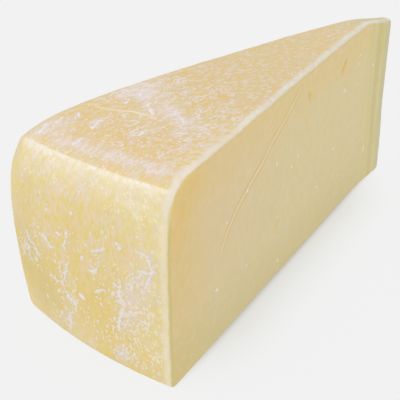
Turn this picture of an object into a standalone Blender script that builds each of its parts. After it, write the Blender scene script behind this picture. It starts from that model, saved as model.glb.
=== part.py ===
# Hard cheese wedge: about a sixteenth of a wheel, resting on the wheel's flat base.
# The tip points to +Y and the rind faces -Y. The origin is on the surface it rests on,
# under the middle of the wedge. All sizes are in metres.
import math

import bmesh
import bpy
from mathutils import Matrix, Vector, noise

# The wheel, and the slice cut out of it
WHEEL_HEIGHT = 0.085
RIND_RADIUS = 0.1955  # from the wheel's axis to the rind, just above the base
HALF_ANGLE = math.radians(11.7)  # from the wedge's middle plane to each cut face
OFFSET_LEFT = 0.0002  # the cut faces' planes pass this far outside the wheel's axis
OFFSET_RIGHT = 0.0012

# The rind's side swells between its foot and its shoulder, more at the left cut
BULGE_RIGHT = 0.0015
BULGE_LEFT = 0.0048
FOOT_SET_IN = 0.0014  # the foot lies this far inside the rind's radius at the left cut
BULGE_HEIGHT = 0.6  # where it is fullest, as a share of the height
SHOULDER_RADIUS = 0.0125  # edge between top and side
FOOT_RADIUS = 0.0025  # edge between side and base

# The top sinks toward the shoulder, mostly at the left cut
SAG_DEPTH = 0.0062
SAG_LENGTH = 0.055
CROWN_HEIGHT = 0.0009  # and rises a little between the axis and that slope

# The knife left the tip blunt: the cut faces hardly close in over its last stretch
TIP_STRETCH = 0.020
TIP_PAST_AXIS = 0.0045
TIP_WIDTH = 0.0052
TIP_DROP = 0.0052  # how far the top has sunk at its very end

# Cage of the smooth form: its outermost loops lie close to the edges that they keep
STEPS_ACROSS = 8
STEPS_ALONG = 20
STEPS_UP = 9
LOOP_AT_RIND = 0.004
LOOP_AT_TIP = 0.0016
LOOP_AT_TOP = 0.003
SMOOTHING_LEVELS = 1

# Gentle unevenness of the whole surface, which fades out toward the flat base
WAVE_LENGTH = 0.040
WAVE_HEIGHT = 0.0005
WAVE_FADE = 0.020
WAVE_SEED = 1795812281  # without a fixed seed the unevenness would change with each build

# Colour and finish of a dry, pale yellow paste
CHEESE_COLOUR = (0.76, 0.62, 0.36, 1.0)
CHEESE_ROUGHNESS = 0.55


def clear_scene():
    for item in list(bpy.data.objects):
        bpy.data.objects.remove(item, do_unlink=True)


def cheese_material():
    material = bpy.data.materials.new("pale_cheese")
    material.use_nodes = True
    finish = material.node_tree.nodes["Principled BSDF"]
    finish.inputs["Base Color"].default_value = CHEESE_COLOUR
    finish.inputs["Roughness"].default_value = CHEESE_ROUGHNESS
    finish.inputs["Metallic"].default_value = 0.0
    return material


def gridded_block():
    # a cube one unit wide whose faces carry the cage's grid
    block = bmesh.new()
    bmesh.ops.create_cube(block, size=1.0, matrix=Matrix.Translation((0.5, 0.5, 0.5)))
    for axis, steps in enumerate((STEPS_ACROSS, STEPS_ALONG, STEPS_UP)):
        edges = []
        for edge in block.edges:
            if abs(edge.verts[0].co[axis] - edge.verts[1].co[axis]) > 0.5:
                edges.append(edge)
        bmesh.ops.subdivide_edges(block, edges=edges, cuts=steps - 1, use_grid_fill=True)
    return block


def spaced(share, steps, length, first, last):
    # distance along a stretch whose two end steps are set and whose others are even
    step = round(share * steps)
    if step in (0, steps):
        return length * step / steps
    return first + (length - first - last) * (step - 1) / (steps - 2)


def rounded(depth_a, depth_b, radius):
    # depths below two faces that meet in a sharp edge, moved to where a round edge has them
    a = max(radius - depth_a, 0.0)
    b = max(radius - depth_b, 0.0)
    if a == 0.0 or b == 0.0:
        return depth_a, depth_b
    pull = max(a, b) / math.hypot(a, b)
    return radius - a * pull, radius - b * pull


def half_width(reach, offset):
    # from the wedge's middle plane to a cut face, at a distance from the wheel's axis
    true_width = reach * math.sin(HALF_ANGLE) + offset
    kept_width = TIP_STRETCH * math.sin(HALF_ANGLE) + offset
    share = (reach + TIP_PAST_AXIS) / (TIP_STRETCH + TIP_PAST_AXIS)
    blunt_width = TIP_WIDTH / 2 + (kept_width - TIP_WIDTH / 2) * share
    return max(true_width, blunt_width)


def bulge(height, right):
    # how far the rind stands out; right is 0 at the left cut and 1 at the right one
    share = height / WHEEL_HEIGHT
    if share < BULGE_HEIGHT:
        swell = 1.0 - ((BULGE_HEIGHT - share) / BULGE_HEIGHT) ** 2
    else:
        swell = 1.0 - ((share - BULGE_HEIGHT) / (1.0 - BULGE_HEIGHT)) ** 2
    return swell * (BULGE_LEFT + (BULGE_RIGHT - BULGE_LEFT) * right) - FOOT_SET_IN * (1.0 - right)


def sunk(reach, height, right):
    # how far the top lies below the wheel's height
    crown = CROWN_HEIGHT * max(1.0 - (2.0 * reach / (RIND_RADIUS - SAG_LENGTH) - 1.0) ** 2, 0.0)
    past = max(reach - (RIND_RADIUS - SAG_LENGTH), 0.0) / SAG_LENGTH
    at_rind = SAG_DEPTH * past ** 1.7 * (1.0 - right) ** 1.5
    near_tip = min(max((TIP_STRETCH - reach) / (TIP_STRETCH + TIP_PAST_AXIS), 0.0), 1.0)
    at_tip = TIP_DROP * near_tip ** 0.8
    return (at_rind + at_tip - crown) * (height / WHEEL_HEIGHT) ** 3


def wedge_point(share):
    # share runs 0 to 1 from the left to the right cut, from rind to tip and from base to top
    length = RIND_RADIUS + TIP_PAST_AXIS
    inward = spaced(share.y, STEPS_ALONG, length, LOOP_AT_TOP, LOOP_AT_TIP * 2)
    height = spaced(share.z, STEPS_UP, WHEEL_HEIGHT, FOOT_RADIUS, LOOP_AT_TOP)
    inward, depth = rounded(inward, WHEEL_HEIGHT - height, SHOULDER_RADIUS)
    height = WHEEL_HEIGHT - depth
    inward, height = rounded(inward, height, FOOT_RADIUS)
    reach = RIND_RADIUS - inward
    width = half_width(reach, OFFSET_LEFT) + half_width(reach, OFFSET_RIGHT)
    loop = LOOP_AT_TIP + (LOOP_AT_RIND - LOOP_AT_TIP) * max(reach, 0.0) / RIND_RADIUS
    right = spaced(share.x, STEPS_ACROSS, width, loop, loop) / width
    angle = (right * 2 - 1) * HALF_ANGLE
    radius = reach + bulge(height, right) * max(reach, 0.0) / RIND_RADIUS
    height -= sunk(reach, height, right)
    left_edge = -half_width(radius, OFFSET_LEFT)
    right_edge = half_width(radius, OFFSET_RIGHT)
    return Vector((left_edge + (right_edge - left_edge) * right, -radius * math.cos(angle), height))


def uneven(point):
    # the point shifted by the surface's gentle unevenness
    fade = min(point.z / WAVE_FADE, 1.0)
    return point + noise.noise_vector(point / WAVE_LENGTH) * WAVE_HEIGHT * fade


def make_wedge(name, material):
    noise.seed_set(WAVE_SEED)
    cage = gridded_block()
    for vert in cage.verts:
        vert.co = uneven(wedge_point(vert.co.copy()))
    mesh = bpy.data.meshes.new(name)
    cage.to_mesh(mesh)
    cage.free()
    mesh.shade_smooth()
    mesh.materials.append(material)
    wedge = bpy.data.objects.new(name, mesh)
    bpy.context.collection.objects.link(wedge)
    smoothing = wedge.modifiers.new("soft form", "SUBSURF")
    smoothing.levels = SMOOTHING_LEVELS
    smoothing.render_levels = SMOOTHING_LEVELS
    return wedge


def centre_over_origin(item):
    # the wheel's axis is moved so that the wedge's middle is over the origin
    view = item.evaluated_get(bpy.context.evaluated_depsgraph_get())
    corners = [Vector(corner) for corner in view.bound_box]
    for axis in range(2):
        along = [corner[axis] for corner in corners]
        item.location[axis] = -(min(along) + max(along)) / 2


def main():
    clear_scene()
    wedge = make_wedge("cheese_wedge", cheese_material())
    centre_over_origin(wedge)


main()
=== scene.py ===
import math
import random

import bmesh
import bpy
import numpy as np
from mathutils import Matrix, Vector, noise
from mathutils.bvhtree import BVHTree


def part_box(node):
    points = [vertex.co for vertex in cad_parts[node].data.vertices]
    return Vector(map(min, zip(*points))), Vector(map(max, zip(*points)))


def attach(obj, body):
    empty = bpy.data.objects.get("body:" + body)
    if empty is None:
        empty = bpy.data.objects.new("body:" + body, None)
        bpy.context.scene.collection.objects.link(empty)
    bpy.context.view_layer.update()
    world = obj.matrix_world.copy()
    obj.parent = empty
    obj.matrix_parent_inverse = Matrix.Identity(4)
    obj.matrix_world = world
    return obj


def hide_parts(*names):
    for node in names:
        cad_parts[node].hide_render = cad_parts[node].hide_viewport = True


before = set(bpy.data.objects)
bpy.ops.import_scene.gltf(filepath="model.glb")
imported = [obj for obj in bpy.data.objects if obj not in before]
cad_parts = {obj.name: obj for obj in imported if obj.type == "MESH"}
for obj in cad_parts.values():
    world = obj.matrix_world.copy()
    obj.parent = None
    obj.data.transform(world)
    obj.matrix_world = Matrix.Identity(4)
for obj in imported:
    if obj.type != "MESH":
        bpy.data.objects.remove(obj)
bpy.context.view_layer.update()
print("frame loaded")

# the wheel and the slice cut out of it, in metres, as the plain solid has them
wedge = {
    "wheelHeight": 0.085,
    "rindRadius": 0.1955,
    "halfAngle": math.radians(11.7),
    "offsetLeft": 0.0002,  # the cut planes pass this far outside the wheel's axis
    "offsetRight": 0.0012,
    "bulgeRight": 0.0015,  # how far the side stands out at each cut
    "bulgeLeft": 0.0048,
    "footSetIn": 0.0014,
    "bulgeHeight": 0.6,
    "shoulderRadius": 0.0125,
    "footRadius": 0.0025,
    "sagDepth": 0.0062,  # the top sinks toward the shoulder, mostly at the left cut
    "sagLength": 0.055,
    "crownHeight": 0.0009,
    "tipStretch": 0.020,
    "tipPastAxis": 0.0045,
    "tipWidth": 0.0052,
    "tipDrop": 0.0052,
    "steps": (8, 20, 9),  # across, from rind to tip, and up
    "loopAtRind": 0.004,
    "loopAtTip": 0.0016,
    "loopAtTop": 0.003,
    "smoothing": 3,
    "waveLength": 0.040,
    "waveHeight": 0.0005,
    "waveFade": 0.020,
    "waveSeed": 1795812281,  # the solid's own, so that both are uneven in the same way
}


def griddedBlock(steps):
    # a cube one unit wide whose faces carry the cage's grid
    block = bmesh.new()
    bmesh.ops.create_cube(block, size=1.0, matrix=Matrix.Translation((0.5, 0.5, 0.5)))
    for axis, count in enumerate(steps):
        edges = []
        for edge in block.edges:
            if abs(edge.verts[0].co[axis] - edge.verts[1].co[axis]) > 0.5:
                edges.append(edge)
        bmesh.ops.subdivide_edges(block, edges=edges, cuts=count - 1, use_grid_fill=True)
    return block


def spaced(share, steps, length, first, last):
    # distance along a stretch whose two end steps are set and whose others are even
    step = round(share * steps)
    if step in (0, steps):
        return length * step / steps
    return first + (length - first - last) * (step - 1) / (steps - 2)


def rounded(depthA, depthB, radius):
    # depths below two faces that meet in an edge, moved to where the round edge has them
    a = max(radius - depthA, 0.0)
    b = max(radius - depthB, 0.0)
    if a == 0.0 or b == 0.0:
        return depthA, depthB
    pull = max(a, b) / math.hypot(a, b)
    return radius - a * pull, radius - b * pull


def halfWidth(reach, offset):
    # from the wedge's middle plane to a cut face, at a distance from the wheel's axis
    spread = math.sin(wedge["halfAngle"])
    trueWidth = reach * spread + offset
    keptWidth = wedge["tipStretch"] * spread + offset
    share = (reach + wedge["tipPastAxis"]) / (wedge["tipStretch"] + wedge["tipPastAxis"])
    bluntWidth = wedge["tipWidth"] / 2 + (keptWidth - wedge["tipWidth"] / 2) * share
    return np.maximum(trueWidth, bluntWidth)


def bulge(height, right):
    # how far the rind stands out; right is 0 at the left cut and 1 at the right one
    share = height / wedge["wheelHeight"]
    full = wedge["bulgeHeight"]
    swell = 1.0 - ((full - share) / np.where(share < full, full, 1.0 - full)) ** 2
    most = wedge["bulgeLeft"] + (wedge["bulgeRight"] - wedge["bulgeLeft"]) * right
    return swell * most - wedge["footSetIn"] * (1.0 - right)


def sunk(reach, height, right):
    # how far the top lies below the wheel's height
    flat = wedge["rindRadius"] - wedge["sagLength"]
    crown = wedge["crownHeight"] * np.maximum(1.0 - (2.0 * reach / flat - 1.0) ** 2, 0.0)
    past = np.maximum(reach - flat, 0.0) / wedge["sagLength"]
    atRind = wedge["sagDepth"] * past ** 1.7 * (1.0 - right) ** 1.5
    nearTip = (wedge["tipStretch"] - reach) / (wedge["tipStretch"] + wedge["tipPastAxis"])
    atTip = wedge["tipDrop"] * np.clip(nearTip, 0.0, 1.0) ** 0.8
    return (atRind + atTip - crown) * (height / wedge["wheelHeight"]) ** 3


def wedgePoint(share):
    # share runs 0 to 1 from the left to the right cut, from rind to tip and from base to top
    across, along, up = wedge["steps"]
    length = wedge["rindRadius"] + wedge["tipPastAxis"]
    inward = spaced(share.y, along, length, wedge["loopAtTop"], wedge["loopAtTip"] * 2)
    height = spaced(share.z, up, wedge["wheelHeight"], wedge["footRadius"], wedge["loopAtTop"])
    inward, depth = rounded(inward, wedge["wheelHeight"] - height, wedge["shoulderRadius"])
    height = wedge["wheelHeight"] - depth
    inward, height = rounded(inward, height, wedge["footRadius"])
    reach = wedge["rindRadius"] - inward
    outward = max(reach, 0.0) / wedge["rindRadius"]
    width = halfWidth(reach, wedge["offsetLeft"]) + halfWidth(reach, wedge["offsetRight"])
    loop = wedge["loopAtTip"] + (wedge["loopAtRind"] - wedge["loopAtTip"]) * outward
    right = spaced(share.x, across, width, loop, loop) / width
    angle = (right * 2 - 1) * wedge["halfAngle"]
    radius = reach + bulge(height, right) * outward
    height -= sunk(reach, height, right)
    leftEdge = -halfWidth(radius, wedge["offsetLeft"])
    rightEdge = halfWidth(radius, wedge["offsetRight"])
    return Vector((leftEdge + (rightEdge - leftEdge) * right, -radius * math.cos(angle), height))


def uneven(point):
    # the point shifted by the surface's gentle unevenness
    fade = min(point.z / wedge["waveFade"], 1.0)
    shift = noise.noise_vector(point / wedge["waveLength"])
    return point + shift * wedge["waveHeight"] * fade


def smoothForm():
    # the whole smooth wedge as a bmesh, moved to where the solid stands, and the wheel's axis
    noise.seed_set(wedge["waveSeed"])
    cage = griddedBlock(wedge["steps"])
    for vert in cage.verts:
        vert.co = uneven(wedgePoint(vert.co.copy()))
    mesh = bpy.data.meshes.new("cage")
    cage.to_mesh(mesh)
    cage.free()
    item = bpy.data.objects.new("cage", mesh)
    bpy.context.collection.objects.link(item)
    softening = item.modifiers.new("soft form", "SUBSURF")
    softening.levels = wedge["smoothing"]
    softening.render_levels = wedge["smoothing"]
    view = item.evaluated_get(bpy.context.evaluated_depsgraph_get())
    form = bmesh.new()
    form.from_mesh(view.to_mesh())
    corners = [Vector(corner) for corner in view.bound_box]
    low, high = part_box("cheese_wedge")
    axis = Vector((0.0, 0.0, 0.0))
    for side in range(2):
        along = [corner[side] for corner in corners]
        axis[side] = (low[side] + high[side] - min(along) - max(along)) / 2
    bmesh.ops.translate(form, verts=form.verts, vec=axis)
    bpy.data.objects.remove(item, do_unlink=True)
    return form, axis


# on the cuts a point is its distance from the wheel's axis and its height, in metres
cutMarks = {
    "scratch": [(0.0930, 0.0810), (0.1070, 0.0730), (0.1200, 0.0672), (0.1270, 0.0622), (0.1370, 0.0578),
                (0.1490, 0.0511), (0.1545, 0.0465), (0.1590, 0.0411), (0.1613, 0.0370)],
    "leftScratch": [(0.062, 0.031), (0.081, 0.037), (0.104, 0.046), (0.121, 0.056)],
    "grooveApart": 0.0013,  # a scratch has two fine grooves beside its raised middle
    "grooveWidth": 0.00050,
    "grooveDepth": 0.00020,
    "middleWidth": 0.0009,
    "middleHeight": 0.00008,
    # each slit: its two ends and how deep it is
    "slits": [((0.0447, 0.0761), (0.0492, 0.0699), 0.0006), ((0.0844, 0.0765), (0.0838, 0.0715), 0.0005),
              ((0.0871, 0.0667), (0.0838, 0.0561), 0.00012), ((0.1096, 0.0300), (0.1140, 0.0240), 0.0002)],
    "leftSlits": [((0.0950, 0.0660), (0.0962, 0.0595), 0.0005), ((0.0515, 0.0260), (0.0498, 0.0190), 0.0003)],
    "slitWidth": 0.0011,
    "slitFullDepth": 0.0006,
    "wander": 0.0004,  # how far a mark strays from its line, and over what length
    "wanderLength": 0.006,
    "fadeLength": 0.005,  # over what length a mark grows fainter and stronger
    "faintest": 0.65,
}
# on the top it is its distance from the wheel's axis, in metres, and its angle in degrees
topMarks = {
    "crease": [(0.1642, -10.8), (0.1626, -8.1), (0.1602, -5.9), (0.1571, -4.1), (0.1556, -2.3),
               (0.1550, -0.6), (0.1552, 1.8)],
    "creaseWidth": 0.00055,
    "creaseHeight": 0.00015,
    "bloomLine": [(0.1840, -10.8), (0.1820, -8.6), (0.1856, -6.1), (0.1847, -0.8), (0.1847, 2.1),
                  (0.1851, 5.6), (0.1841, 9.5)],
    "bloomWidth": 0.0036,
    "ridgeTurn": 52.0,  # degrees round the shoulder, from the side up, where the thin ridge runs
    "ridgeWidth": 0.00050,
    "ridgeHeight": 0.00020,
}
refineWithin = (0.0030, 0.0022)  # the surface is split finer this close to a mark


def onLine(across, along, line):
    # for many points: distance from a line through a few, and the share of its length there
    lengths = [math.dist(start, end) for start, end in zip(line, line[1:])]
    nearest = np.full(len(across), 1.0)
    share = np.zeros(len(across))
    gone = 0.0
    for (x0, y0), (x1, y1), length in zip(line, line[1:], lengths):
        part = ((across - x0) * (x1 - x0) + (along - y0) * (y1 - y0)) / length ** 2
        part = np.clip(part, 0.0, 1.0)
        away = np.hypot(across - x0 - (x1 - x0) * part, along - y0 - (y1 - y0) * part)
        share = np.where(away < nearest, (gone + part * length) / sum(lengths), share)
        nearest = np.minimum(nearest, away)
        gone += length
    return nearest, share


def ramp(values, low, high):
    share = np.clip((values - low) / (high - low), 0.0, 1.0)
    return share * share * (3.0 - 2.0 * share)


def bell(values, width):
    return np.exp(-(values / width) ** 2)


def noiseAt(points, length, stretch=(1.0, 1.0, 1.0), start=0.0):
    # smooth noise from about -1 to 1 with waves of that length, longer where stretch is
    scaled = points / (length * np.array(stretch)) + start
    return np.array([noise.noise(Vector(point)) for point in scaled])


def surveyed(points, normals, axis):
    # where each point lies on the wedge, as shares and as distances in metres
    x = points[:, 0] - axis.x
    y = points[:, 1] - axis.y
    z = points[:, 2]
    sine, cosine = math.sin(wedge["halfAngle"]), math.cos(wedge["halfAngle"])
    radius = np.hypot(x, y)
    outward = (normals[:, 0] * x + normals[:, 1] * y) / np.maximum(radius, 0.001)
    facingRight = normals[:, 0] * cosine + normals[:, 1] * sine
    facingLeft = -normals[:, 0] * cosine + normals[:, 1] * sine
    leftWidth = halfWidth(-y, wedge["offsetLeft"])
    rightWidth = halfWidth(-y, wedge["offsetRight"])
    right = np.clip((x + leftWidth) / (leftWidth + rightWidth), 0.0, 1.0)
    fromSide = wedge["rindRadius"] + bulge(z, right) - radius
    fromTop = wedge["wheelHeight"] - sunk(-y, wedge["wheelHeight"], right) - z
    a = np.maximum(wedge["shoulderRadius"] - fromSide, 0.0)
    b = np.maximum(wedge["shoulderRadius"] - fromTop, 0.0)
    deep = np.where((a > 0) & (b > 0), wedge["shoulderRadius"] - np.hypot(a, b),
                    np.minimum(fromSide, fromTop))
    fromCut = np.minimum(rightWidth - x, x + leftWidth) * cosine
    facing = np.maximum(np.maximum(facingRight, facingLeft), normals[:, 1])
    turn = np.degrees(np.arctan2(normals[:, 2], outward))
    return {
        "x": x, "reach": -y, "height": z, "radius": radius,
        "degrees": np.degrees(np.arctan2(x, -y)), "turn": turn, "up": normals[:, 2],
        "right": facingRight, "left": facingLeft, "facing": facing, "back": normals[:, 1],
        "cut": ramp(facing, 0.50, 0.92), "onRight": ramp(right, 0.3, 0.7),
        "fromSide": fromSide, "fromTop": fromTop, "fromRim": deep - fromCut,
        "ridge": (turn - topMarks["ridgeTurn"]) * math.radians(1.0) * wedge["shoulderRadius"],
    }


def onTopLine(spot, line):
    # distance on the top from a line given by distances from the wheel's axis and angles
    places = []
    for radius, degrees in line:
        angle = math.radians(degrees)
        places.append((radius * math.sin(angle), radius * math.cos(angle)))
    away, share = onLine(spot["x"], spot["reach"], places)
    return away + np.where(spot["up"] > 0.7, 0.0, 1.0), share


def markShares(spot, points):
    # how strongly each mark shows at each point, and how near the nearest mark is
    sine, cosine = math.sin(wedge["halfAngle"]), math.cos(wedge["halfAngle"])
    marks = {"slit": np.zeros(len(points)), "middle": np.zeros(len(points))}
    marks["groove"] = np.zeros(len(points))
    marks["away"] = np.full(len(points), 1.0)
    wander = cutMarks["wander"] * noiseAt(points, cutMarks["wanderLength"])
    patchy = 0.75 + 0.7 * noiseAt(points, cutMarks["fadeLength"], (1.0, 1.0, 1.0), 2.0)
    patchy = np.clip(patchy, 0.0, 1.0)
    cuts = ((spot["right"], 1.0, "scratch", "slits"), (spot["left"], -1.0, "leftScratch", "leftSlits"))
    for facing, side, scratchName, slitsName in cuts:
        off = np.where(facing > 0.8, 0.0, 1.0)
        along = spot["x"] * sine * side + spot["reach"] * cosine
        away, share = onLine(along, spot["height"], cutMarks[scratchName])
        away += off + wander * 0.5
        strength = cutMarks["faintest"] + (1.0 - cutMarks["faintest"]) * patchy
        strength *= (0.75 + 0.25 * ramp(share, 0.2, 0.5)) * ramp(share, 1.0, 0.9)
        grooves = bell(away - cutMarks["grooveApart"], cutMarks["grooveWidth"])
        marks["groove"] = np.maximum(marks["groove"], strength * grooves)
        middle = bell(away, cutMarks["middleWidth"])
        marks["middle"] = np.maximum(marks["middle"], strength * middle)
        marks["away"] = np.minimum(marks["away"], away)
        for start, end, depth in cutMarks[slitsName]:
            away, share = onLine(along, spot["height"], [start, end])
            lens = np.maximum(4.0 * share * (1.0 - share), 0.1) ** 0.7
            shown = bell(away + off, cutMarks["slitWidth"] * lens) * depth
            marks["slit"] = np.maximum(marks["slit"], shown / cutMarks["slitFullDepth"])
            marks["away"] = np.minimum(marks["away"], away + off)
    away, share = onTopLine(spot, topMarks["crease"])
    fade = ramp(share, 0.0, 0.3) * ramp(share, 1.0, 0.85)
    marks["crease"] = bell(away + wander, topMarks["creaseWidth"]) * fade * patchy
    marks["away"] = np.minimum(marks["away"], away)
    away, share = onTopLine(spot, topMarks["bloomLine"])
    marks["bloom"] = bell(away, topMarks["bloomWidth"])
    onShoulder = (spot["facing"] < 0.6) & (spot["turn"] > 5) & (spot["turn"] < 85)
    marks["away"] = np.minimum(marks["away"], np.where(onShoulder, np.abs(spot["ridge"]), 1.0))
    fade = 0.15 + 0.85 * ramp(spot["degrees"], 5.0, 0.0)
    ridge = bell(spot["ridge"] + wander * 2.0, topMarks["ridgeWidth"]) * ramp(spot["facing"], 0.8, 0.4)
    marks["ridge"] = ridge * fade * patchy
    return marks


def arraysOf(form):
    form.normal_update()
    points = np.array([vert.co[:] for vert in form.verts])
    normals = np.array([vert.normal[:] for vert in form.verts])
    return points, normals


def refine(form, axis):
    # splits the surface finer near the marks
    for limit in refineWithin:
        points, normals = arraysOf(form)
        away = markShares(surveyed(points, normals, axis), points)["away"]
        edges = []
        for edge in form.edges:
            if away[edge.verts[0].index] < limit and away[edge.verts[1].index] < limit:
                edges.append(edge)
        done = bmesh.ops.subdivide_edges(form, edges=edges, cuts=1, use_grid_fill=True)
        fresh = [item for item in done["geom_inner"] if isinstance(item, bmesh.types.BMVert)]
        bmesh.ops.smooth_vert(form, verts=fresh, factor=0.5, use_axis_x=True, use_axis_y=True,
                              use_axis_z=True)
        form.verts.index_update()


skin = {
    "margin": 0.00012,  # room inside the solid's box for what lies on the skin
    "grainLength": 0.0045,
    "grainHeight": 0.00012,
    "fineLength": 0.0019,
    "fineHeight": 0.00006,
    "rimLength": 0.012,
    "rimDepth": 0.00030,  # how much rounder the rim between rind and cut is than in the solid
    "rimWidth": 0.0014,
    "cutLength": 0.016,
    "cutHeight": 0.00015,
    "tipBands": 0.0042,
    "tipHeight": 0.00014,
}


def roughened(points, normals, spot, marks):
    # the surface moved along its normals: grain, rim, ridge, crease, scratches and slits
    rind = (1.0 - spot["cut"]) * ramp(spot["up"], -0.6, -0.3)
    upright = ramp(spot["turn"], 60, 40)
    grainSide = noiseAt(points, skin["grainLength"], (0.6, 0.6, 2.0))
    grainTop = noiseAt(points, skin["grainLength"], (0.8, 1.5, 1.0), 7.0)
    grain = grainTop + (grainSide - grainTop) * upright
    fine = noiseAt(points, skin["fineLength"], (0.8, 0.8, 1.6), 3.0)
    shift = rind * (skin["grainHeight"] * (grain - 0.7) + skin["fineHeight"] * (fine - 0.7))
    lumps = noiseAt(points, skin["rimLength"], (1.0, 1.0, 1.0), 11.0)
    rim = bell(spot["fromRim"], skin["rimWidth"]) * ramp(spot["height"], 0.004, 0.012)
    shift -= rim * skin["rimDepth"] * (0.8 + 0.4 * lumps)
    soft = noiseAt(points, skin["cutLength"], (1.0, 1.0, 1.0), 5.0)
    shift += spot["cut"] * skin["cutHeight"] * (soft - 0.7) * ramp(spot["height"], 0.0, 0.01)
    shift += topMarks["ridgeHeight"] * marks["ridge"] + topMarks["creaseHeight"] * marks["crease"]
    shift += cutMarks["middleHeight"] * marks["middle"] - cutMarks["grooveDepth"] * marks["groove"]
    shift -= cutMarks["slitFullDepth"] * marks["slit"]
    tip = spot["cut"] * ramp(spot["reach"], 0.019, 0.012)
    bands = noiseAt(points, skin["tipBands"], (0.5, 0.5, 6.0), 9.0)
    shift += tip * skin["tipHeight"] * (bands - 0.7)
    return points + normals * shift[:, None]


# soft patches: angle, height on the side or distance from the wheel's axis on the top, size
# (all three lengths in millimetres) and strength
sidePatches = {
    "haze": [(7.8, 39, 5.0, 0.7), (7.0, 30, 4.5, 0.7), (6.2, 23, 3.5, 0.5), (9.3, 48, 4.0, 0.4),
             (5.2, 7, 3.5, 0.8), (-2.2, 33, 2.6, 0.4), (-2.6, 13, 2.6, 0.5), (3.0, 48, 2.5, 0.4),
             (2.3, 41, 2.5, 0.4), (-8.8, 34, 3.5, 0.3), (-5.4, 45, 2.6, 0.3), (9.0, 62, 4.0, 0.2),
             (7.5, 76, 4.0, 0.4), (-1.3, 52, 2.2, 0.3), (-11.0, 55, 5.0, 0.3), (-9.5, 44, 4.0, 0.3),
             (-3.5, 66, 4.0, 0.15), (5.5, 64, 3.0, 0.2), (-6.0, 60, 3.0, 0.1)],
    "specks": [(-8.7, 35, 7, 0.7), (-5.2, 45, 5, 0.6), (-2.8, 42, 5, 0.5), (-2.3, 31, 6, 0.7),
               (-1.6, 21, 5, 0.6), (-3.0, 11, 5, 0.6), (1.5, 49, 5, 0.35), (2.5, 43, 5, 0.45),
               (0.8, 17, 6, 0.4), (7.3, 43, 7, 0.75), (6.0, 30, 7, 0.7), (9.6, 47, 6, 0.6),
               (9.5, 27, 9, 0.8), (6.0, 12, 8, 0.9), (10.0, 12, 9, 1.2), (2.0, 8, 7, 0.35),
               (-5.0, 9, 8, 0.4), (-6.5, 25, 6, 0.35), (7.5, 75, 8, 0.7), (10.3, 72, 8, 0.6),
               (3.0, 77, 7, 0.35), (-3.0, 74, 9, 0.25), (-9.0, 70, 8, 0.2), (-5.0, 60, 14, 0.15),
               (6.0, 60, 12, 0.2)],
    "gold": [(-10.0, 62, 9, 0.4), (-10.5, 42, 8, 0.6), (-9.2, 23, 9, 0.9), (-8.0, 36, 5, 0.5),
             (3.5, 5, 7, 0.7), (-5.5, 20, 9, 0.7), (0.0, 25, 10, 0.6), (3.0, 20, 9, 0.8),
             (9.5, 34, 8, 0.4), (10.0, 18, 14, 0.4), (5.5, 16, 10, 0.6), (8.0, 6, 8, 0.8),
             (-7.0, 22, 6, 0.8), (-10.5, 30, 6, 0.8), (-0.5, 52, 8, 0.6), (-4.0, 33, 8, 0.7),
             (3.0, 36, 9, 0.7)],
    # darker patches, mostly low on the left: painted shade with some duller colour
    "dullAndShade": [(-9.0, 28, 12, 0.8), (-6.0, 16, 12, 0.7), (-9.5, 42, 10, 0.4), (-9.0, 64, 12, 0.45)],
    "pale": [(7.5, 77, 8, 0.9), (10.5, 72, 9, 0.9), (3.5, 79, 6, 0.6), (-1.0, 78, 5, 0.4),
             (10.9, 60, 6, 0.8), (8.4, 66, 7, 0.4), (10.6, 47, 8, 0.7), (10.4, 33, 8, 0.6),
             (10.0, 14, 9, 0.4), (-11.0, 60, 9, 0.5)],
}
topPatches = {
    "haze": [(-9.5, 149, 5, 0.9), (-9.6, 143, 5, 0.8), (-7.5, 141, 4, 0.7), (-5.5, 145, 4, 0.8),
             (-2.8, 144, 4, 0.7), (-0.7, 146, 4, 0.6), (1.6, 148, 4, 0.6), (3.7, 150, 4, 0.6),
             (5.8, 152, 4, 0.5), (7.7, 153, 4, 0.4), (-10.3, 185, 6, 0.9), (-5.0, 171, 3, 0.8),
             (-8.5, 176, 3, 0.6), (-3.6, 183, 3, 0.6), (1.6, 168, 3, 0.6), (5.6, 160, 3, 0.6),
             (8.5, 166, 3, 0.4), (-9.0, 136, 6, 0.5), (2.5, 156, 4, 0.2), (-2.5, 152, 3, 0.4)],
    "specks": [(0.0, 150, 12, 0.3), (-7.0, 145, 10, 0.3), (6.0, 150, 10, 0.3), (-9.0, 184, 6, 0.3),
               (-5.0, 172, 6, 0.2), (0.0, 165, 25, 0.1)],
    "gold": [(-7.5, 182, 4, 0.8), (-4.6, 181, 3, 0.7), (5.0, 180, 7, 0.9), (3.6, 189, 3, 0.7),
             (-7.5, 165, 8, 0.6), (-1.0, 174, 8, 0.5), (0.0, 152, 5, 0.6)],
    "dullAndShade": [(-9.5, 160, 20, 0.3), (2.0, 148, 12, 0.4)],
    "pale": [(10.4, 178, 4, 0.5), (10.4, 168, 4, 0.5), (10.5, 157, 4, 0.4), (10.5, 146, 4, 0.4),
             (9.5, 187, 5, 0.4)],
}


def patchesAt(degrees, along, patches, onTop):
    # how much of a set of soft patches lies at each angle and height, or angle and distance
    total = np.zeros(len(degrees))
    for angle, middle, size, strength in patches:
        arm = middle if onTop else wedge["rindRadius"] * 1000
        across = np.radians(degrees - angle) * arm
        total += strength * bell(np.hypot(across, (along * 1000 - middle) * 0.8), size)
    return total


def patchShare(spot, name):
    side = patchesAt(spot["degrees"], spot["height"], sidePatches[name], False)
    top = patchesAt(spot["degrees"], spot["radius"], topPatches[name], True)
    total = side * ramp(spot["turn"], 65, 45) + top * ramp(spot["turn"], 45, 70)
    return np.clip(total * (1.0 - spot["cut"]), 0.0, 1.0)


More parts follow.
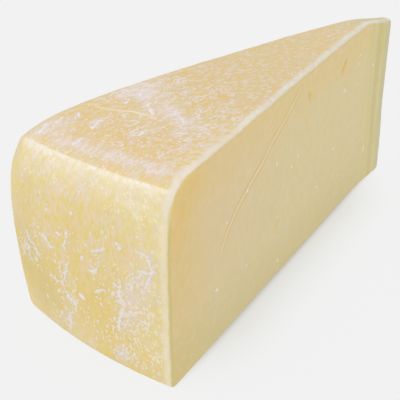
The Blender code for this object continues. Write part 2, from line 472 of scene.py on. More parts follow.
def keptInside(form, margin=0.0):
    # no point lies outside the solid's box, or nearer to its sides and top than the margin
    low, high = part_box("cheese_wedge")
    for vert in form.verts:
        for axis in range(3):
            least = low[axis] + (margin if axis < 2 else 0.0)
            vert.co[axis] = min(max(vert.co[axis], least), high[axis] - margin)


def makeBody():
    form, axis = smoothForm()
    refine(form, axis)
    points, normals = arraysOf(form)
    spot = surveyed(points, normals, axis)
    marks = markShares(spot, points)
    moved = roughened(points, normals, spot, marks)
    for vert, place in zip(form.verts, moved):
        vert.co = place
    keptInside(form, skin["margin"])
    mesh = bpy.data.meshes.new("cheeseBody")
    form.to_mesh(mesh)
    tree = BVHTree.FromBMesh(form)
    form.free()
    shares = {
        "cutShare": spot["cut"],
        "onRight": spot["onRight"],
        "fromRim": np.clip(spot["fromRim"] * 1000, -30.0, 30.0),
        "fromSide": np.clip(spot["fromSide"] * 1000, -5.0, 90.0),
        "fromTop": np.clip(spot["fromTop"] * 1000, -5.0, 90.0),
        "pastRidge": spot["ridge"] * 1000,
        "reach": spot["reach"] * 1000,
        "tipShare": ramp(spot["back"], 0.35, 0.85),
    }
    for name in sidePatches:
        shares[name] = patchShare(spot, name)
    shares["haze"] = np.maximum(shares["haze"], 0.85 * marks["bloom"])
    for name in ("slit", "middle", "groove", "crease", "ridge"):
        shares[name + "Share"] = marks[name]
    for name, values in shares.items():
        layer = mesh.attributes.new(name, "FLOAT", "POINT")
        layer.data.foreach_set("value", values.astype(np.float32))
    mesh.shade_smooth()
    body = bpy.data.objects.new("cheeseBody", mesh)
    bpy.context.collection.objects.link(body)
    print("body made:", len(mesh.polygons), "faces")
    return body, tree, axis


rayStarts = {"side": 0.26, "top": 0.12, "cut": 0.05}  # how far out the rays toward the surface start
# flakes and strokes are measured in millimetres, their clusters in metres
flakes = {
    "sideSeed": 5,
    "topSeed": 6,
    "strokeSeed": 41,
    "corners": 7,
    "sideCount": 300,
    "topCount": 480,
    "length": (0.7, 1.7),
    "width": (0.5, 1.0),
    "faintest": 0.6,
    "topSize": 0.9,  # those on the top are smaller
    "clusterSize": 0.009,
    "clusterEdge": -0.05,
    "skirt": 0.75,  # radius of the outer edge and of the flat part, as shares of the size
    "flat": 0.42,
    "thickness": 0.06,
    "sink": 0.10,
    "topLean": 77.0,  # degrees from +X that most flakes on the top run along
    "topSpread": 50.0,
    "strokeStep": 0.7,
    "strokeJitter": 0.30,
    "strokeLength": (1.2, 2.2),
    "strokeWidth": (0.6, 1.2),  # as shares of the stroke's own
    "strokeFaint": 0.25,
    "strokeGaps": 0.25,
    "crumbs": 0.8,  # small flakes beside a stroke, for each step along it
    "crumbsAway": 1.5,
    "crumbLength": (0.6, 1.4),
    "crumbWidth": (0.4, 0.9),
    "crumbFaint": 0.4,
    "shapes": 50.0,  # range of the number that shapes a flake's outline
}
# strokes on the side: points by angle and height in millimetres, then width in millimetres
sideStrokes = [
    ([(-8.5, 42.5), (-8.3, 39.5), (-7.4, 38), (-6.7, 34)], 0.9), ([(-10.2, 34.5), (-9.7, 30.5)], 0.7),
    ([(-9.3, 36.5), (-8.6, 35), (-8.7, 31)], 0.7), ([(-5.3, 45.5), (-4.4, 42.5)], 1.3),
    ([(-1.3, 53.5), (-1.7, 48.5), (-2.2, 45)], 1.0), ([(2.5, 50), (3.9, 53)], 1.1),
    ([(1.8, 41), (2.6, 41.5), (3.0, 44.5)], 1.0), ([(-4.9, 29), (-4.6, 27.5), (-3.6, 27.5)], 0.9),
    ([(-1.7, 38.5), (-2.0, 35), (-2.4, 31), (-3.0, 28)], 0.9), ([(-3.0, 28), (-2.3, 26)], 1.4),
    ([(-2.5, 24), (-1.9, 21.5), (-1.2, 21), (-1.2, 18.5)], 1.4), ([(-3.4, 20), (-3.0, 19)], 1.1),
    ([(-3.1, 16), (-2.5, 14.5), (-2.5, 10), (-3.0, 4.5)], 1.2), ([(2.4, 32), (3.5, 35)], 1.1),
    ([(0.3, 19.5), (0.7, 18)], 0.9), ([(8.4, 57), (9.5, 56.5), (9.7, 55), (10.0, 51.5)], 1.0),
    ([(8.5, 46.5), (8.7, 49.5), (9.5, 49.5), (10.2, 51)], 0.9), ([(9.7, 48.5), (9.2, 43.5)], 1.0),
    ([(5.2, 39.5), (5.8, 39), (6.1, 41)], 0.9), ([(5.9, 38.5), (5.7, 36), (6.2, 33.5)], 1.3),
    ([(7.8, 46.5), (7.5, 41)], 1.0), ([(6.3, 32), (6.0, 28), (5.5, 24), (5.2, 17.5)], 1.4),
    ([(4.8, 24), (5.0, 22)], 0.9), ([(10.4, 41.5), (10.8, 39.5)], 1.0), ([(-6.5, 71), (-6.3, 69.5)], 0.7),
    ([(1.2, 77), (0.9, 74), (0.4, 71), (0.0, 65)], 0.45), ([(5.8, 12.5), (5.3, 8), (4.6, 5.5)], 0.9),
]
# and on the top, by angle and distance from the wheel's axis
topStrokes = [
    ([(-5.5, 167), (-4.8, 171.5), (-4.4, 175.5)], 1.8), ([(-3.5, 181.5), (-3.8, 185)], 1.2),
    ([(5.4, 160), (6.4, 158)], 1.2), ([(1.7, 169), (1.6, 166.5)], 1.5), ([(0.5, 168.5), (0.4, 166)], 1.3),
    ([(-9.8, 176), (-9.4, 180)], 1.2), ([(-9.0, 171), (-8.2, 172)], 1.2), ([(-2.2, 151), (-1.2, 153)], 1.6),
    ([(-4.0, 148), (-3.2, 150)], 1.5), ([(0.8, 146), (1.6, 149)], 1.5), ([(-7.4, 150), (-6.6, 153)], 1.3),
    ([(-8.2, 142), (-6.8, 146)], 1.5), ([(3.2, 149), (4.2, 152)], 1.4), ([(-10.2, 183), (-9.6, 187)], 1.3),
]
# single larger flakes on the side: angle, height, length and width
sideBlobs = [
    (0.2, 26.7, 2.4, 3.8), (0.8, 44.5, 2.2, 1.9), (-2.7, 50.1, 1.9, 2.1), (-0.5, 62, 1.7, 1.6),
    (2.3, 57.2, 1.2, 1.2), (1.5, 51.2, 1.4, 1.4), (-3.9, 22.3, 2.0, 1.4), (-4.0, 11.6, 2.4, 1.4),
    (-7.5, 31, 1.8, 1.5), (5.8, 57.5, 1.4, 1.2), (6.1, 56.1, 1.6, 1.4), (3.7, 18.4, 1.8, 1.5),
    (-4.1, 42.3, 1.8, 1.2), (-3.7, 36.5, 1.6, 1.2), (3.1, 27.8, 1.6, 1.2), (2.3, 18.3, 1.6, 1.2),
]


def layFlake(form, foot, tree, centre, along, length, width, faint, seed):
    # one thin flake that follows the surface; its edge lies just below it
    place, normal = tree.find_nearest(centre)[:2]
    along = (along - normal * along.dot(normal)).normalized()
    aside = normal.cross(along)
    made = bmesh.ops.create_cone(form, cap_ends=True, segments=flakes["corners"],
                                 radius1=flakes["skirt"], radius2=flakes["flat"], depth=1.0)
    for vert in made["verts"]:
        across = Vector((vert.co.x, vert.co.y, 0.0)) / 1000
        wobble = 1.0 + 0.7 * noise.noise(across.normalized() * 0.9 + Vector((seed, seed, seed)))
        upper = vert.co.z > 0.0
        spot = place + along * across.x * length * wobble + aside * across.y * width * wobble
        spot, lean = tree.find_nearest(spot)[:2]
        vert.co = spot + lean * (flakes["thickness"] if upper else -flakes["sink"]) / 1000
        vert[foot] = faint if upper else 1.0


def onSide(degrees, height, tree, axis):
    # the surface point at an angle and a height in millimetres
    angle = math.radians(degrees)
    outward = Vector((math.sin(angle), -math.cos(angle), 0.0))
    start = axis + outward * rayStarts["side"] + Vector((0.0, 0.0, height / 1000))
    return tree.ray_cast(start, -outward)[0]


def onTop(degrees, distance, tree, axis):
    angle = math.radians(degrees)
    start = axis + Vector((math.sin(angle), -math.cos(angle), 0.0)) * distance / 1000
    return tree.ray_cast(start + Vector((0.0, 0.0, rayStarts["top"])), Vector((0.0, 0.0, -1.0)))[0]


def scatterFlakes(form, foot, tree, axis, top, seed):
    # small flakes at random, more of them where the specks are
    count = flakes["topCount"] if top else flakes["sideCount"]
    size = flakes["topSize"] if top else 1.0
    draw = np.random.RandomState(seed)
    degrees = draw.uniform(-11.0, 11.0, count * 10)
    if top:
        along = 0.005 + 0.183 * np.sqrt(draw.uniform(0.0, 1.0, count * 10))
        crowd = 0.10 + 1.8 * patchesAt(degrees, along, topPatches["specks"], True)
    else:
        along = draw.uniform(0.003, 0.078, count * 10)
        crowd = 0.05 + patchesAt(degrees, along, sidePatches["specks"], False)
    kept = np.where(draw.uniform(0.0, 1.0, count * 10) < crowd)[0][:count]
    for index in kept:
        lay = onTop if top else onSide
        place = lay(degrees[index], along[index] * 1000, tree, axis)
        if place is None or noise.noise(place / flakes["clusterSize"]) < flakes["clusterEdge"]:
            continue
        if top:
            lean = math.radians(flakes["topLean"] + draw.uniform(-1, 1) * flakes["topSpread"])
            run = Vector((math.cos(lean), math.sin(lean), 0.0))
        else:
            run = Vector((draw.uniform(-0.5, 0.5), 0.0, 1.0))
        layFlake(form, foot, tree, place, run, draw.uniform(*flakes["length"]) * size,
                 draw.uniform(*flakes["width"]) * size, draw.uniform(0.0, flakes["faintest"]), index * 0.37)


def layStroke(form, foot, tree, start, end, width, draw):
    # a broken stroke of overlapping flakes
    run = end - start
    parts = max(int(run.length * 1000 / flakes["strokeStep"]), 1)
    for part in range(parts + 1):
        away = [draw.uniform(-1, 1) for axis in range(3)]
        place = start + run * part / parts + Vector(away) * flakes["strokeJitter"] / 1000
        if draw.random() > flakes["strokeGaps"]:
            layFlake(form, foot, tree, place, run.normalized(), draw.uniform(*flakes["strokeLength"]),
                     width * draw.uniform(*flakes["strokeWidth"]),
                     draw.uniform(0.0, flakes["strokeFaint"]), draw.random() * flakes["shapes"])
        if draw.random() < flakes["crumbs"]:
            place = place + Vector([draw.gauss(0, 1) for axis in range(3)]) * flakes["crumbsAway"] / 1000
            layFlake(form, foot, tree, place, Vector((draw.uniform(-1, 1), 0.0, 1.0)),
                     draw.uniform(*flakes["crumbLength"]), draw.uniform(*flakes["crumbWidth"]),
                     draw.uniform(0.0, flakes["crumbFaint"]), draw.random() * flakes["shapes"])


def makeFlakes(tree, axis):
    draw = random.Random(flakes["strokeSeed"])
    form = bmesh.new()
    foot = form.verts.layers.float.new("foot")
    scatterFlakes(form, foot, tree, axis, False, flakes["sideSeed"])
    scatterFlakes(form, foot, tree, axis, True, flakes["topSeed"])
    for lay, strokes in ((onSide, sideStrokes), (onTop, topStrokes)):
        for line, width in strokes:
            for start, end in zip(line, line[1:]):
                layStroke(form, foot, tree, lay(*start, tree, axis), lay(*end, tree, axis), width, draw)
    for degrees, height, length, width in sideBlobs:
        place = onSide(degrees, height, tree, axis)
        shape = draw.random() * flakes["shapes"]
        layFlake(form, foot, tree, place, Vector((0.3, 0.0, 1.0)), length, width, 0.0, shape)
    keptInside(form)
    return finished(form, "rindFlakes")


crystals = {
    "seed": 7,
    # on the right cut, in metres: distance from the wheel's axis, height, width and length
    "right": [
        (0.0283, 0.0722, 0.0014, 0.0014), (0.0298, 0.0684, 0.0015, 0.0017),
        (0.0120, 0.0615, 0.0016, 0.0020), (0.0288, 0.0582, 0.0020, 0.0017),
        (0.0437, 0.0605, 0.0022, 0.0022), (0.0537, 0.0357, 0.0017, 0.0017),
        (0.0156, 0.0189, 0.0016, 0.0032), (0.0929, 0.0499, 0.0016, 0.0018),
        (0.1136, 0.0561, 0.0016, 0.0024), (0.0990, 0.0480, 0.0018, 0.0016),
        (0.1391, 0.0566, 0.0024, 0.0020), (0.0703, 0.0244, 0.0018, 0.0014),
        (0.1554, 0.0509, 0.0018, 0.0013), (0.1112, 0.0299, 0.0014, 0.0015),
        (0.1092, 0.0076, 0.0016, 0.0022), (0.1381, 0.0223, 0.0014, 0.0012),
        (0.1622, 0.0247, 0.0024, 0.0018),
    ],
    # on the left cut they are random, within these limits
    "leftCount": 16,
    "leftReach": (0.03, 0.175),
    "leftHeight": (0.006, 0.076),
    "leftWidth": (0.0014, 0.0022),
    "leftLength": (0.0013, 0.0024),
    "lean": 0.25,
    "lumps": 0.4,
    "proud": 0.00012,
}


def makeCrystals(tree, axis):
    draw = random.Random(crystals["seed"])
    form = bmesh.new()
    spots = [(*spot, 1.0) for spot in crystals["right"]]
    for index in range(crystals["leftCount"]):
        limits = [crystals[name] for name in ("leftReach", "leftHeight", "leftWidth", "leftLength")]
        spots.append((*[draw.uniform(*limit) for limit in limits], -1.0))
    upward = Vector((0.0, 0.0, 1.0))
    for reach, height, width, length, side in spots:
        angle = wedge["halfAngle"]
        along = Vector((math.sin(angle) * side, -math.cos(angle), 0.0))
        outward = Vector((math.cos(angle) * side, math.sin(angle), 0.0))
        start = axis + along * reach + outward * rayStarts["cut"] + upward * height
        place, normal = tree.ray_cast(start, -outward)[:2]
        made = bmesh.ops.create_icosphere(form, subdivisions=2, radius=0.5)
        across = upward.cross(normal).normalized()
        seed = Vector((draw.random(), draw.random(), draw.random())) * 40
        lean = draw.uniform(-crystals["lean"], crystals["lean"])
        for vert in made["verts"]:
            lump = 1.0 + crystals["lumps"] * noise.noise(vert.co * 2.0 + seed)
            u = vert.co.x * width * lump
            v = vert.co.y * length * lump
            w = vert.co.z * crystals["proud"] * 2.0
            vert.co = place + across * (u + v * lean) + upward * v + normal * w
    bmesh.ops.recalc_face_normals(form, faces=form.faces)
    keptInside(form)
    return finished(form, "pasteCrystals")


def finished(form, name):
    mesh = bpy.data.meshes.new(name)
    form.to_mesh(mesh)
    form.free()
    mesh.shade_smooth()
    item = bpy.data.objects.new(name, mesh)
    bpy.context.collection.objects.link(item)
    print(name, "made:", len(mesh.polygons), "faces")
    return item


def linear(red, green, blue):
    # a colour given as it looks on a screen, 0 to 255, as the shader takes it
    shares = []
    for value in (red, green, blue):
        share = value / 255
        if share > 0.04045:
            shares.append(((share + 0.055) / 1.055) ** 2.4)
        else:
            shares.append(share / 12.92)
    return (*shares, 1.0)


def setInputs(tree, node, inputs):
    for name, value in inputs.items():
        if isinstance(value, bpy.types.NodeSocket):
            tree.links.new(value, node.inputs[name])
        else:
            node.inputs[name].default_value = value


def addNode(tree, kind, settings=None, inputs=None):
    node = tree.nodes.new(kind)
    for name, value in (settings or {}).items():
        setattr(node, name, value)
    setInputs(tree, node, inputs or {})
    return node


def newMaterial(name):
    # a material, its nodes, its shader and the coordinates that its patterns lie on
    material = bpy.data.materials.new(name)
    material.use_nodes = True
    tree = material.node_tree
    place = addNode(tree, "ShaderNodeTexCoord").outputs["Object"]
    return material, tree, tree.nodes["Principled BSDF"], place


def bumpOf(tree, height, strength, distance):
    inputs = {"Height": height, "Strength": strength, "Distance": distance}
    return addNode(tree, "ShaderNodeBump", None, inputs).outputs["Normal"]


def blend(tree, share, first, second):
    node = addNode(tree, "ShaderNodeMix", {"data_type": "RGBA"}, {0: share, 6: first, 7: second})
    return node.outputs[2]


def mixed(tree, amount, first, second):
    return addNode(tree, "ShaderNodeMix", {"data_type": "FLOAT"}, {0: amount, 2: first, 3: second}).outputs[0]


def band(tree, value, low, high, least=0.0, most=1.0):
    # least up to low, most from high on, and a smooth step between them
    inputs = {"Value": value, "From Min": low, "From Max": high, "To Min": least, "To Max": most}
    if low > high:
        inputs = {"Value": value, "From Min": high, "From Max": low, "To Min": most, "To Max": least}
    return addNode(tree, "ShaderNodeMapRange", {"interpolation_type": "SMOOTHSTEP"}, inputs).outputs[0]


def sums(tree, first, second, operation="MULTIPLY"):
    # two values multiplied, or put together in another way
    return addNode(tree, "ShaderNodeMath", {"operation": operation}, {0: first, 1: second}).outputs[0]


def field(tree, name):
    # what the surface's attribute of that name says at each point
    return addNode(tree, "ShaderNodeAttribute", {"attribute_name": name}).outputs["Fac"]


def grainOf(tree, vector, scale, detail=4.0, roughness=0.55):
    inputs = {"Vector": vector, "Scale": scale, "Detail": detail, "Roughness": roughness}
    return addNode(tree, "ShaderNodeTexNoise", None, inputs).outputs[0]


def stretched(tree, vector, lengths, turn=0.0):
    # coordinates in which a pattern is that much longer along each axis, the axes turned first
    inputs = {"Vector": vector, "Scale": lengths, "Rotation": (0.0, 0.0, turn)}
    return addNode(tree, "ShaderNodeMapping", {"vector_type": "TEXTURE"}, inputs).outputs[0]


def over(tree, colour, tone, amount):
    # that much of a tone laid over a colour
    return blend(tree, amount, colour, tones[tone])


def dotsOf(tree, vector, scale, density, size):
    # separate dots of uneven size and outline; density is the share of the cells that have one
    inputs = {"Vector": vector, "Scale": scale * 1.6, "Detail": 1.0}
    shift = addNode(tree, "ShaderNodeTexNoise", None, inputs).outputs["Color"]
    inputs = {0: shift, 1: [0.9 / scale] * 3, 2: vector}
    bent = addNode(tree, "ShaderNodeVectorMath", {"operation": "MULTIPLY_ADD"}, inputs).outputs[0]
    cells = addNode(tree, "ShaderNodeTexVoronoi", None, {"Vector": bent, "Scale": scale})
    pick = addNode(tree, "ShaderNodeSeparateColor", None, {0: cells.outputs["Color"]}).outputs[0]
    radius = band(tree, sums(tree, density, pick, "SUBTRACT"), 0.0, 0.4, 0.0, size)
    return band(tree, sums(tree, cells.outputs["Distance"], radius, "SUBTRACT"), 0.0, -0.16)


tones = {
    "sideYellow": linear(224, 205, 134),
    "sideBuff": linear(225, 203, 164),
    "sideGold": linear(223, 197, 120),
    "sideLemon": linear(229, 216, 166),
    "sideDullAndShade": linear(207, 188, 130),
    "sidePale": linear(231, 218, 165),
    "sideSand": linear(219, 195, 142),
    "topBuff": linear(218, 193, 152),
    "topYellow": linear(219, 196, 138),
    "topAmber": linear(223, 186, 112),
    "topGold": linear(222, 192, 134),
    "topFar": linear(210, 189, 143),
    "topTip": linear(198, 190, 150),
    "farEdge": linear(206, 193, 146),
    # shoulder: cream colour that also carries a painted highlight
    "shoulder": linear(238, 230, 217),
    "bloom": linear(226, 216, 212),
    "flake": linear(231, 222, 222),
    "shoulderSpeck": linear(240, 234, 222),
    "haze": linear(221, 206, 199),
    "rim": linear(227, 218, 203),
    "rimSide": linear(232, 223, 197),
    "rimFar": linear(218, 213, 201),
    "rimWhite": linear(230, 225, 216),
    "pasteBuff": linear(225, 203, 160),
    "pasteGreen": linear(223, 207, 159),
    "pasteBand": linear(229, 198, 124),
    "pasteFoot": linear(212, 197, 142),
    "pasteCorner": linear(215, 195, 132),
    "pasteTip": linear(215, 203, 142),
    "tipOlive": linear(212, 198, 122),
    "tipLine": linear(206, 192, 136),
    "tipEdge": linear(204, 196, 156),
    "rimShade": linear(206, 194, 134),
    "slit": linear(234, 190, 84),
    "groove": linear(224, 190, 118),
    "cream": linear(238, 226, 200),
    "crystal": linear(238, 229, 212),
}


def rindColour(tree, place):
    upwards = stretched(tree, place, (1.0, 1.0, 1.5))
    fibrous = stretched(tree, place, (1.0, 1.0, 5.0))
    lengthways = stretched(tree, place, (1.0, 2.2, 1.0), math.radians(-13))
    patches = grainOf(tree, place, 70.0, 4.0, 0.65)
    crowd = grainOf(tree, place, 160.0, 3.0, 0.6)
    fibres = grainOf(tree, fibrous, 1400.0, 2.0, 0.5)
    clumps = grainOf(tree, place, 240.0, 3.0, 0.6)
    mottleSide = grainOf(tree, upwards, 430.0, 4.0, 0.62)
    mottleTop = grainOf(tree, lengthways, 640.0, 4.0, 0.65)
    # side: yellow and buff, finely mottled, with upright fibres
    side = blend(tree, band(tree, clumps, 0.40, 0.60), tones["sideYellow"], tones["sideBuff"])
    side = over(tree, side, "sideGold", band(tree, mottleSide, 0.50, 0.64, 0.0, 0.60))
    side = over(tree, side, "haze", band(tree, mottleSide, 0.48, 0.34, 0.0, 0.57))
    side = over(tree, side, "sideLemon", band(tree, fibres, 0.50, 0.68, 0.0, 0.40))
    side = over(tree, side, "sideSand", band(tree, fibres, 0.50, 0.34, 0.0, 0.40))
    # top: buff, with a fine yellow and pinkish grain along the wedge, duller toward the tip, partly a real
    # olive tone and partly painted shade
    broad = blend(tree, 0.5, clumps, patches)
    top = blend(tree, band(tree, broad, 0.42, 0.58), tones["topYellow"], tones["topBuff"])
    # painted shade with a real olive tone: the top darker toward the tip
    top = over(tree, top, "topFar", band(tree, field(tree, "reach"), 165.0, 110.0, 0.0, 0.8))
    vivid = band(tree, field(tree, "reach"), 80.0, 145.0, 0.5, 1.0)
    amber = sums(tree, vivid, band(tree, mottleTop, 0.50, 0.63, 0.0, 0.80))
    top = over(tree, top, "topAmber", amber)
    hazy = sums(tree, vivid, band(tree, mottleTop, 0.51, 0.37, 0.0, 0.95))
    top = over(tree, top, "haze", hazy)
    pastRidge = field(tree, "pastRidge")
    topShare = band(tree, pastRidge, 0.5, 6.0)
    rind = blend(tree, topShare, side, top)
    # golden and pale stretches, and the cream shoulder: partly its real pale colour, partly painted highlight
    # where light falls on the slope
    gold = sums(tree, field(tree, "gold"), band(tree, crowd, 0.35, 0.60, 0.4, 0.9))
    golden = blend(tree, topShare, tones["sideGold"], tones["topGold"])
    rind = blend(tree, gold, rind, golden)
    pale = sums(tree, field(tree, "pale"), band(tree, mottleSide, 0.39, 0.61, 0.30, 1.0))
    pale = sums(tree, pale, band(tree, clumps, 0.42, 0.58, 0.4, 1.0))
    rind = over(tree, rind, "sidePale", pale)
    # painted shade, with some duller colour: darker patches, mostly on the side's lower left
    dullAndShade = sums(tree, field(tree, "dullAndShade"), band(tree, crowd, 0.35, 0.65, 0.7, 0.3))
    rind = over(tree, rind, "sideDullAndShade", dullAndShade)
    # the shoulder band: real cream colour together with a painted highlight either side of the ridge
    shoulder = sums(tree, band(tree, pastRidge, -10.0, -0.5), band(tree, pastRidge, 2.2, 0.2))
    shoulder = sums(tree, shoulder, band(tree, mottleSide, 0.37, 0.60, 1.0, 0.50))
    shoulder = sums(tree, shoulder, band(tree, field(tree, "fromRim"), -1.0, -9.0, 0.5, 1.0))
    rind = over(tree, rind, "shoulder", shoulder)
    # soft bloom, then separate specks of it, closer together in some places
    grain = mixed(tree, topShare, mottleSide, mottleTop)
    soft = sums(tree, field(tree, "haze"), band(tree, grain, 0.38, 0.60, 0.98, 0.55))
    rind = over(tree, rind, "haze", soft)
    core = sums(tree, band(tree, soft, 0.35, 0.75), band(tree, grain, 0.44, 0.56, 0.55, 0.0))
    rind = over(tree, rind, "bloom", sums(tree, core, topShare))
    density = sums(tree, field(tree, "specks"), sums(tree, gold, sums(tree, topShare, -0.25)), "ADD")
    onRidge = sums(tree, band(tree, pastRidge, -7.0, -1.0, 0.0, 0.6), band(tree, pastRidge, 4.0, 1.0))
    density = sums(tree, density, onRidge, "ADD")
    density = sums(tree, density, band(tree, crowd, 0.36, 0.64, 0.45, 1.35))
    loose = band(tree, crowd, 0.36, 0.64, 0.2, 1.6)
    fineBase = sums(tree, loose, band(tree, topShare, 0.0, 1.0, 0.14, 0.46))
    coarseBase = sums(tree, loose, band(tree, topShare, 0.0, 1.0, 0.03, 0.20))
    fineDots = sums(tree, fineBase, sums(tree, density, 0.85), "ADD")
    coarseDots = sums(tree, coarseBase, sums(tree, density, 0.80), "ADD")
    sideDots = sums(tree, dotsOf(tree, upwards, 520.0, coarseDots, 0.42),
                    dotsOf(tree, upwards, 850.0, fineDots, 0.48), "MAXIMUM")
    topDots = sums(tree, dotsOf(tree, lengthways, 800.0, coarseDots, 0.42),
                   dotsOf(tree, lengthways, 1350.0, fineDots, 0.48), "MAXIMUM")
    specks = mixed(tree, topShare, sideDots, topDots)
    specks = sums(tree, specks, band(tree, field(tree, "reach"), 80.0, 150.0, 0.38, 0.9))
    faint = sums(tree, band(tree, field(tree, "fromTop"), 40.0, 26.0, 0.14, 0.5), topShare, "SUBTRACT")
    specks = sums(tree, specks, sums(tree, 1.0, sums(tree, faint, 0.0, "MAXIMUM"), "SUBTRACT"))
    specks = sums(tree, specks, band(tree, field(tree, "fromRim"), -1.0, -5.0, 0.4, 1.0))
    speckTone = blend(tree, band(tree, pastRidge, -16.0, -6.0), tones["bloom"], tones["shoulderSpeck"])
    speckTone = over(tree, speckTone, "bloom", topShare)
    rind = blend(tree, specks, rind, speckTone)
    rind = over(tree, rind, "topTip", band(tree, field(tree, "reach"), 40.0, 6.0, 0.0, 0.9))
    # the shoulder's thin raised ridge, whose whitish line is painted highlight, and the crease
    rind = over(tree, rind, "rimWhite", sums(tree, field(tree, "ridgeShare"), 0.8))
    rind = over(tree, rind, "cream", sums(tree, field(tree, "creaseShare"), 0.75))
    return rind


def pasteColour(tree, place):
    clouds = grainOf(tree, place, 30.0, 3.0, 0.5)
    mottle = grainOf(tree, place, 260.0, 4.0, 0.6)
    upright = grainOf(tree, stretched(tree, place, (1.0, 1.0, 20.0)), 420.0, 3.0, 0.5)
    reach = field(tree, "reach")
    toTip = sums(tree, band(tree, reach, 170.0, 70.0, 0.0, 1.0), band(tree, clouds, 0.3, 0.7, 0.7, 1.0))
    paste = blend(tree, toTip, tones["pasteBuff"], tones["pasteGreen"])
    # yellower under the rind
    wander = band(tree, clouds, 0.3, 0.7, -3.0, 3.0)
    fromSide = sums(tree, field(tree, "fromSide"), wander, "ADD")
    fromTop = sums(tree, field(tree, "fromTop"), wander, "ADD")
    near = band(tree, fromSide, 36.0, 4.0, 0.0, 0.75)
    high = band(tree, fromTop, 24.0, 6.0, 0.0, 0.30)
    farther = band(tree, fromTop, 50.0, 10.0, 0.0, 0.12)
    height = addNode(tree, "ShaderNodeSeparateXYZ", None, {0: place}).outputs[2]
    near = sums(tree, near, band(tree, height, 0.010, 0.070, 0.75, 1.0))
    under = sums(tree, near, sums(tree, high, farther, "ADD"), "ADD")
    under = sums(tree, under, 0.95, "MINIMUM")
    paste = over(tree, paste, "pasteBand", under)
    paste = over(tree, paste, "pasteFoot", band(tree, height, 0.080, 0.020, 0.0, 0.25))
    paste = over(tree, paste, "pasteFoot", band(tree, height, 0.030, 0.002, 0.0, 0.80))
    corner = sums(tree, band(tree, fromSide, 45.0, 8.0), band(tree, height, 0.030, 0.004, 0.0, 0.8))
    paste = over(tree, paste, "pasteCorner", corner)
    strip = band(tree, reach, 24.0, 6.0, 0.0, 1.0)
    paste = over(tree, paste, "pasteTip", strip)
    olive = sums(tree, strip, band(tree, fromTop, 30.0, 8.0, 0.0, 0.7))
    paste = over(tree, paste, "tipOlive", olive)
    bands = sums(tree, strip, band(tree, upright, 0.42, 0.58, 0.0, 0.6))
    paste = over(tree, paste, "pasteGreen", bands)
    line = sums(tree, band(tree, reach, 3.0, 6.5), band(tree, reach, 11.0, 7.5, 0.0, 0.8))
    paste = over(tree, paste, "tipLine", line)
    paste = over(tree, paste, "tipEdge", band(tree, reach, 3.5, -0.5, 0.0, 0.9))
    paste = over(tree, paste, "cream", band(tree, mottle, 0.45, 0.70, 0.0, 0.12))
    paste = over(tree, paste, "groove", band(tree, mottle, 0.48, 0.28, 0.0, 0.12))
    paste = over(tree, paste, "tipEdge", sums(tree, field(tree, "tipShare"), 0.75))
    # scratches and slits
    paste = over(tree, paste, "cream", sums(tree, field(tree, "middleShare"), 0.38))
    paste = over(tree, paste, "groove", sums(tree, field(tree, "grooveShare"), 0.9))
    paste = over(tree, paste, "slit", field(tree, "slitShare"))
    return paste


finishes = {
    "rindBump": 0.40,
    "cutBump": 0.05,
    "bumpHeight": 0.0004,
    "gloss": 0.35,
    "glow": 0.25,  # how much light passes through the outermost paste, and how far, red farthest
    "glowColours": (1.0, 0.62, 0.30),
    "glowReach": 0.003,
    "crustBump": 0.3,
    "crustBumpHeight": 0.0002,
    "crustGloss": 0.3,
}


def cheeseFinish():
    material, tree, shader, place = newMaterial("cheeseFinish")
    cut = field(tree, "cutShare")
    colour = blend(tree, cut, rindColour(tree, place), pasteColour(tree, place))
    # the whitish rim between rind and cut: soft, uneven, with a darker yellow band of painted shade at its
    # foot
    wander = grainOf(tree, place, 160.0, 3.0, 0.6)
    fromRim = sums(tree, field(tree, "fromRim"), band(tree, wander, 0.3, 0.7, -0.4, 0.4), "ADD")
    onRight = field(tree, "onRight")
    upper = band(tree, field(tree, "fromTop"), 16.0, 8.0)
    # painted shade: a darker olive band on the cut's first millimetres below the rim
    foot = sums(tree, band(tree, fromRim, 0.2, 0.9), band(tree, fromRim, 3.0, 1.5))
    foot = sums(tree, foot, band(tree, upper, 0.0, 1.0, 0.8, 0.4))
    colour = over(tree, colour, "rimShade", foot)
    onTopEdge = sums(tree, band(tree, fromRim, -3.4, -0.9), band(tree, fromRim, 2.2, 0.0))
    onSideEdge = sums(tree, band(tree, fromRim, -3.8, -1.2, 0.0, 0.9), band(tree, fromRim, 0.7, -0.5))
    rim = mixed(tree, upper, onSideEdge, onTopEdge)
    rim = sums(tree, rim, band(tree, wander, 0.3, 0.6, 0.65, 0.95))
    rim = sums(tree, rim, sums(tree, onRight, sums(tree, upper, 0.5), "MAXIMUM"))
    rim = sums(tree, rim, band(tree, upper, 0.0, 1.0, 0.8, 1.0))
    farther = band(tree, field(tree, "reach"), 160.0, 110.0)
    rimTone = blend(tree, farther, tones["rim"], tones["rimFar"])
    rimTone = blend(tree, upper, tones["rimSide"], rimTone)
    # painted shade: along the left cut's edge the rim takes a darker olive tone instead of cream
    rimTone = blend(tree, onRight, tones["farEdge"], rimTone)
    colour = blend(tree, rim, colour, rimTone)
    blobs = sums(tree, rim, band(tree, grainOf(tree, place, 420.0, 2.0), 0.50, 0.66, 0.0, 0.45))
    colour = over(tree, colour, "rimWhite", sums(tree, blobs, onRight))
    grain = grainOf(tree, place, 700.0, 4.0, 0.6)
    strength = band(tree, cut, 0.0, 1.0, finishes["rindBump"], finishes["cutBump"])
    setInputs(tree, shader, {
        "Base Color": colour,
        "Roughness": band(tree, grain, 0.3, 0.7, 0.55, 0.72),
        "Normal": bumpOf(tree, grain, strength, finishes["bumpHeight"]),
        "Specular IOR Level": finishes["gloss"],
        "Subsurface Weight": finishes["glow"],
        "Subsurface Radius": finishes["glowColours"],
        "Subsurface Scale": finishes["glowReach"],
    })
    return material


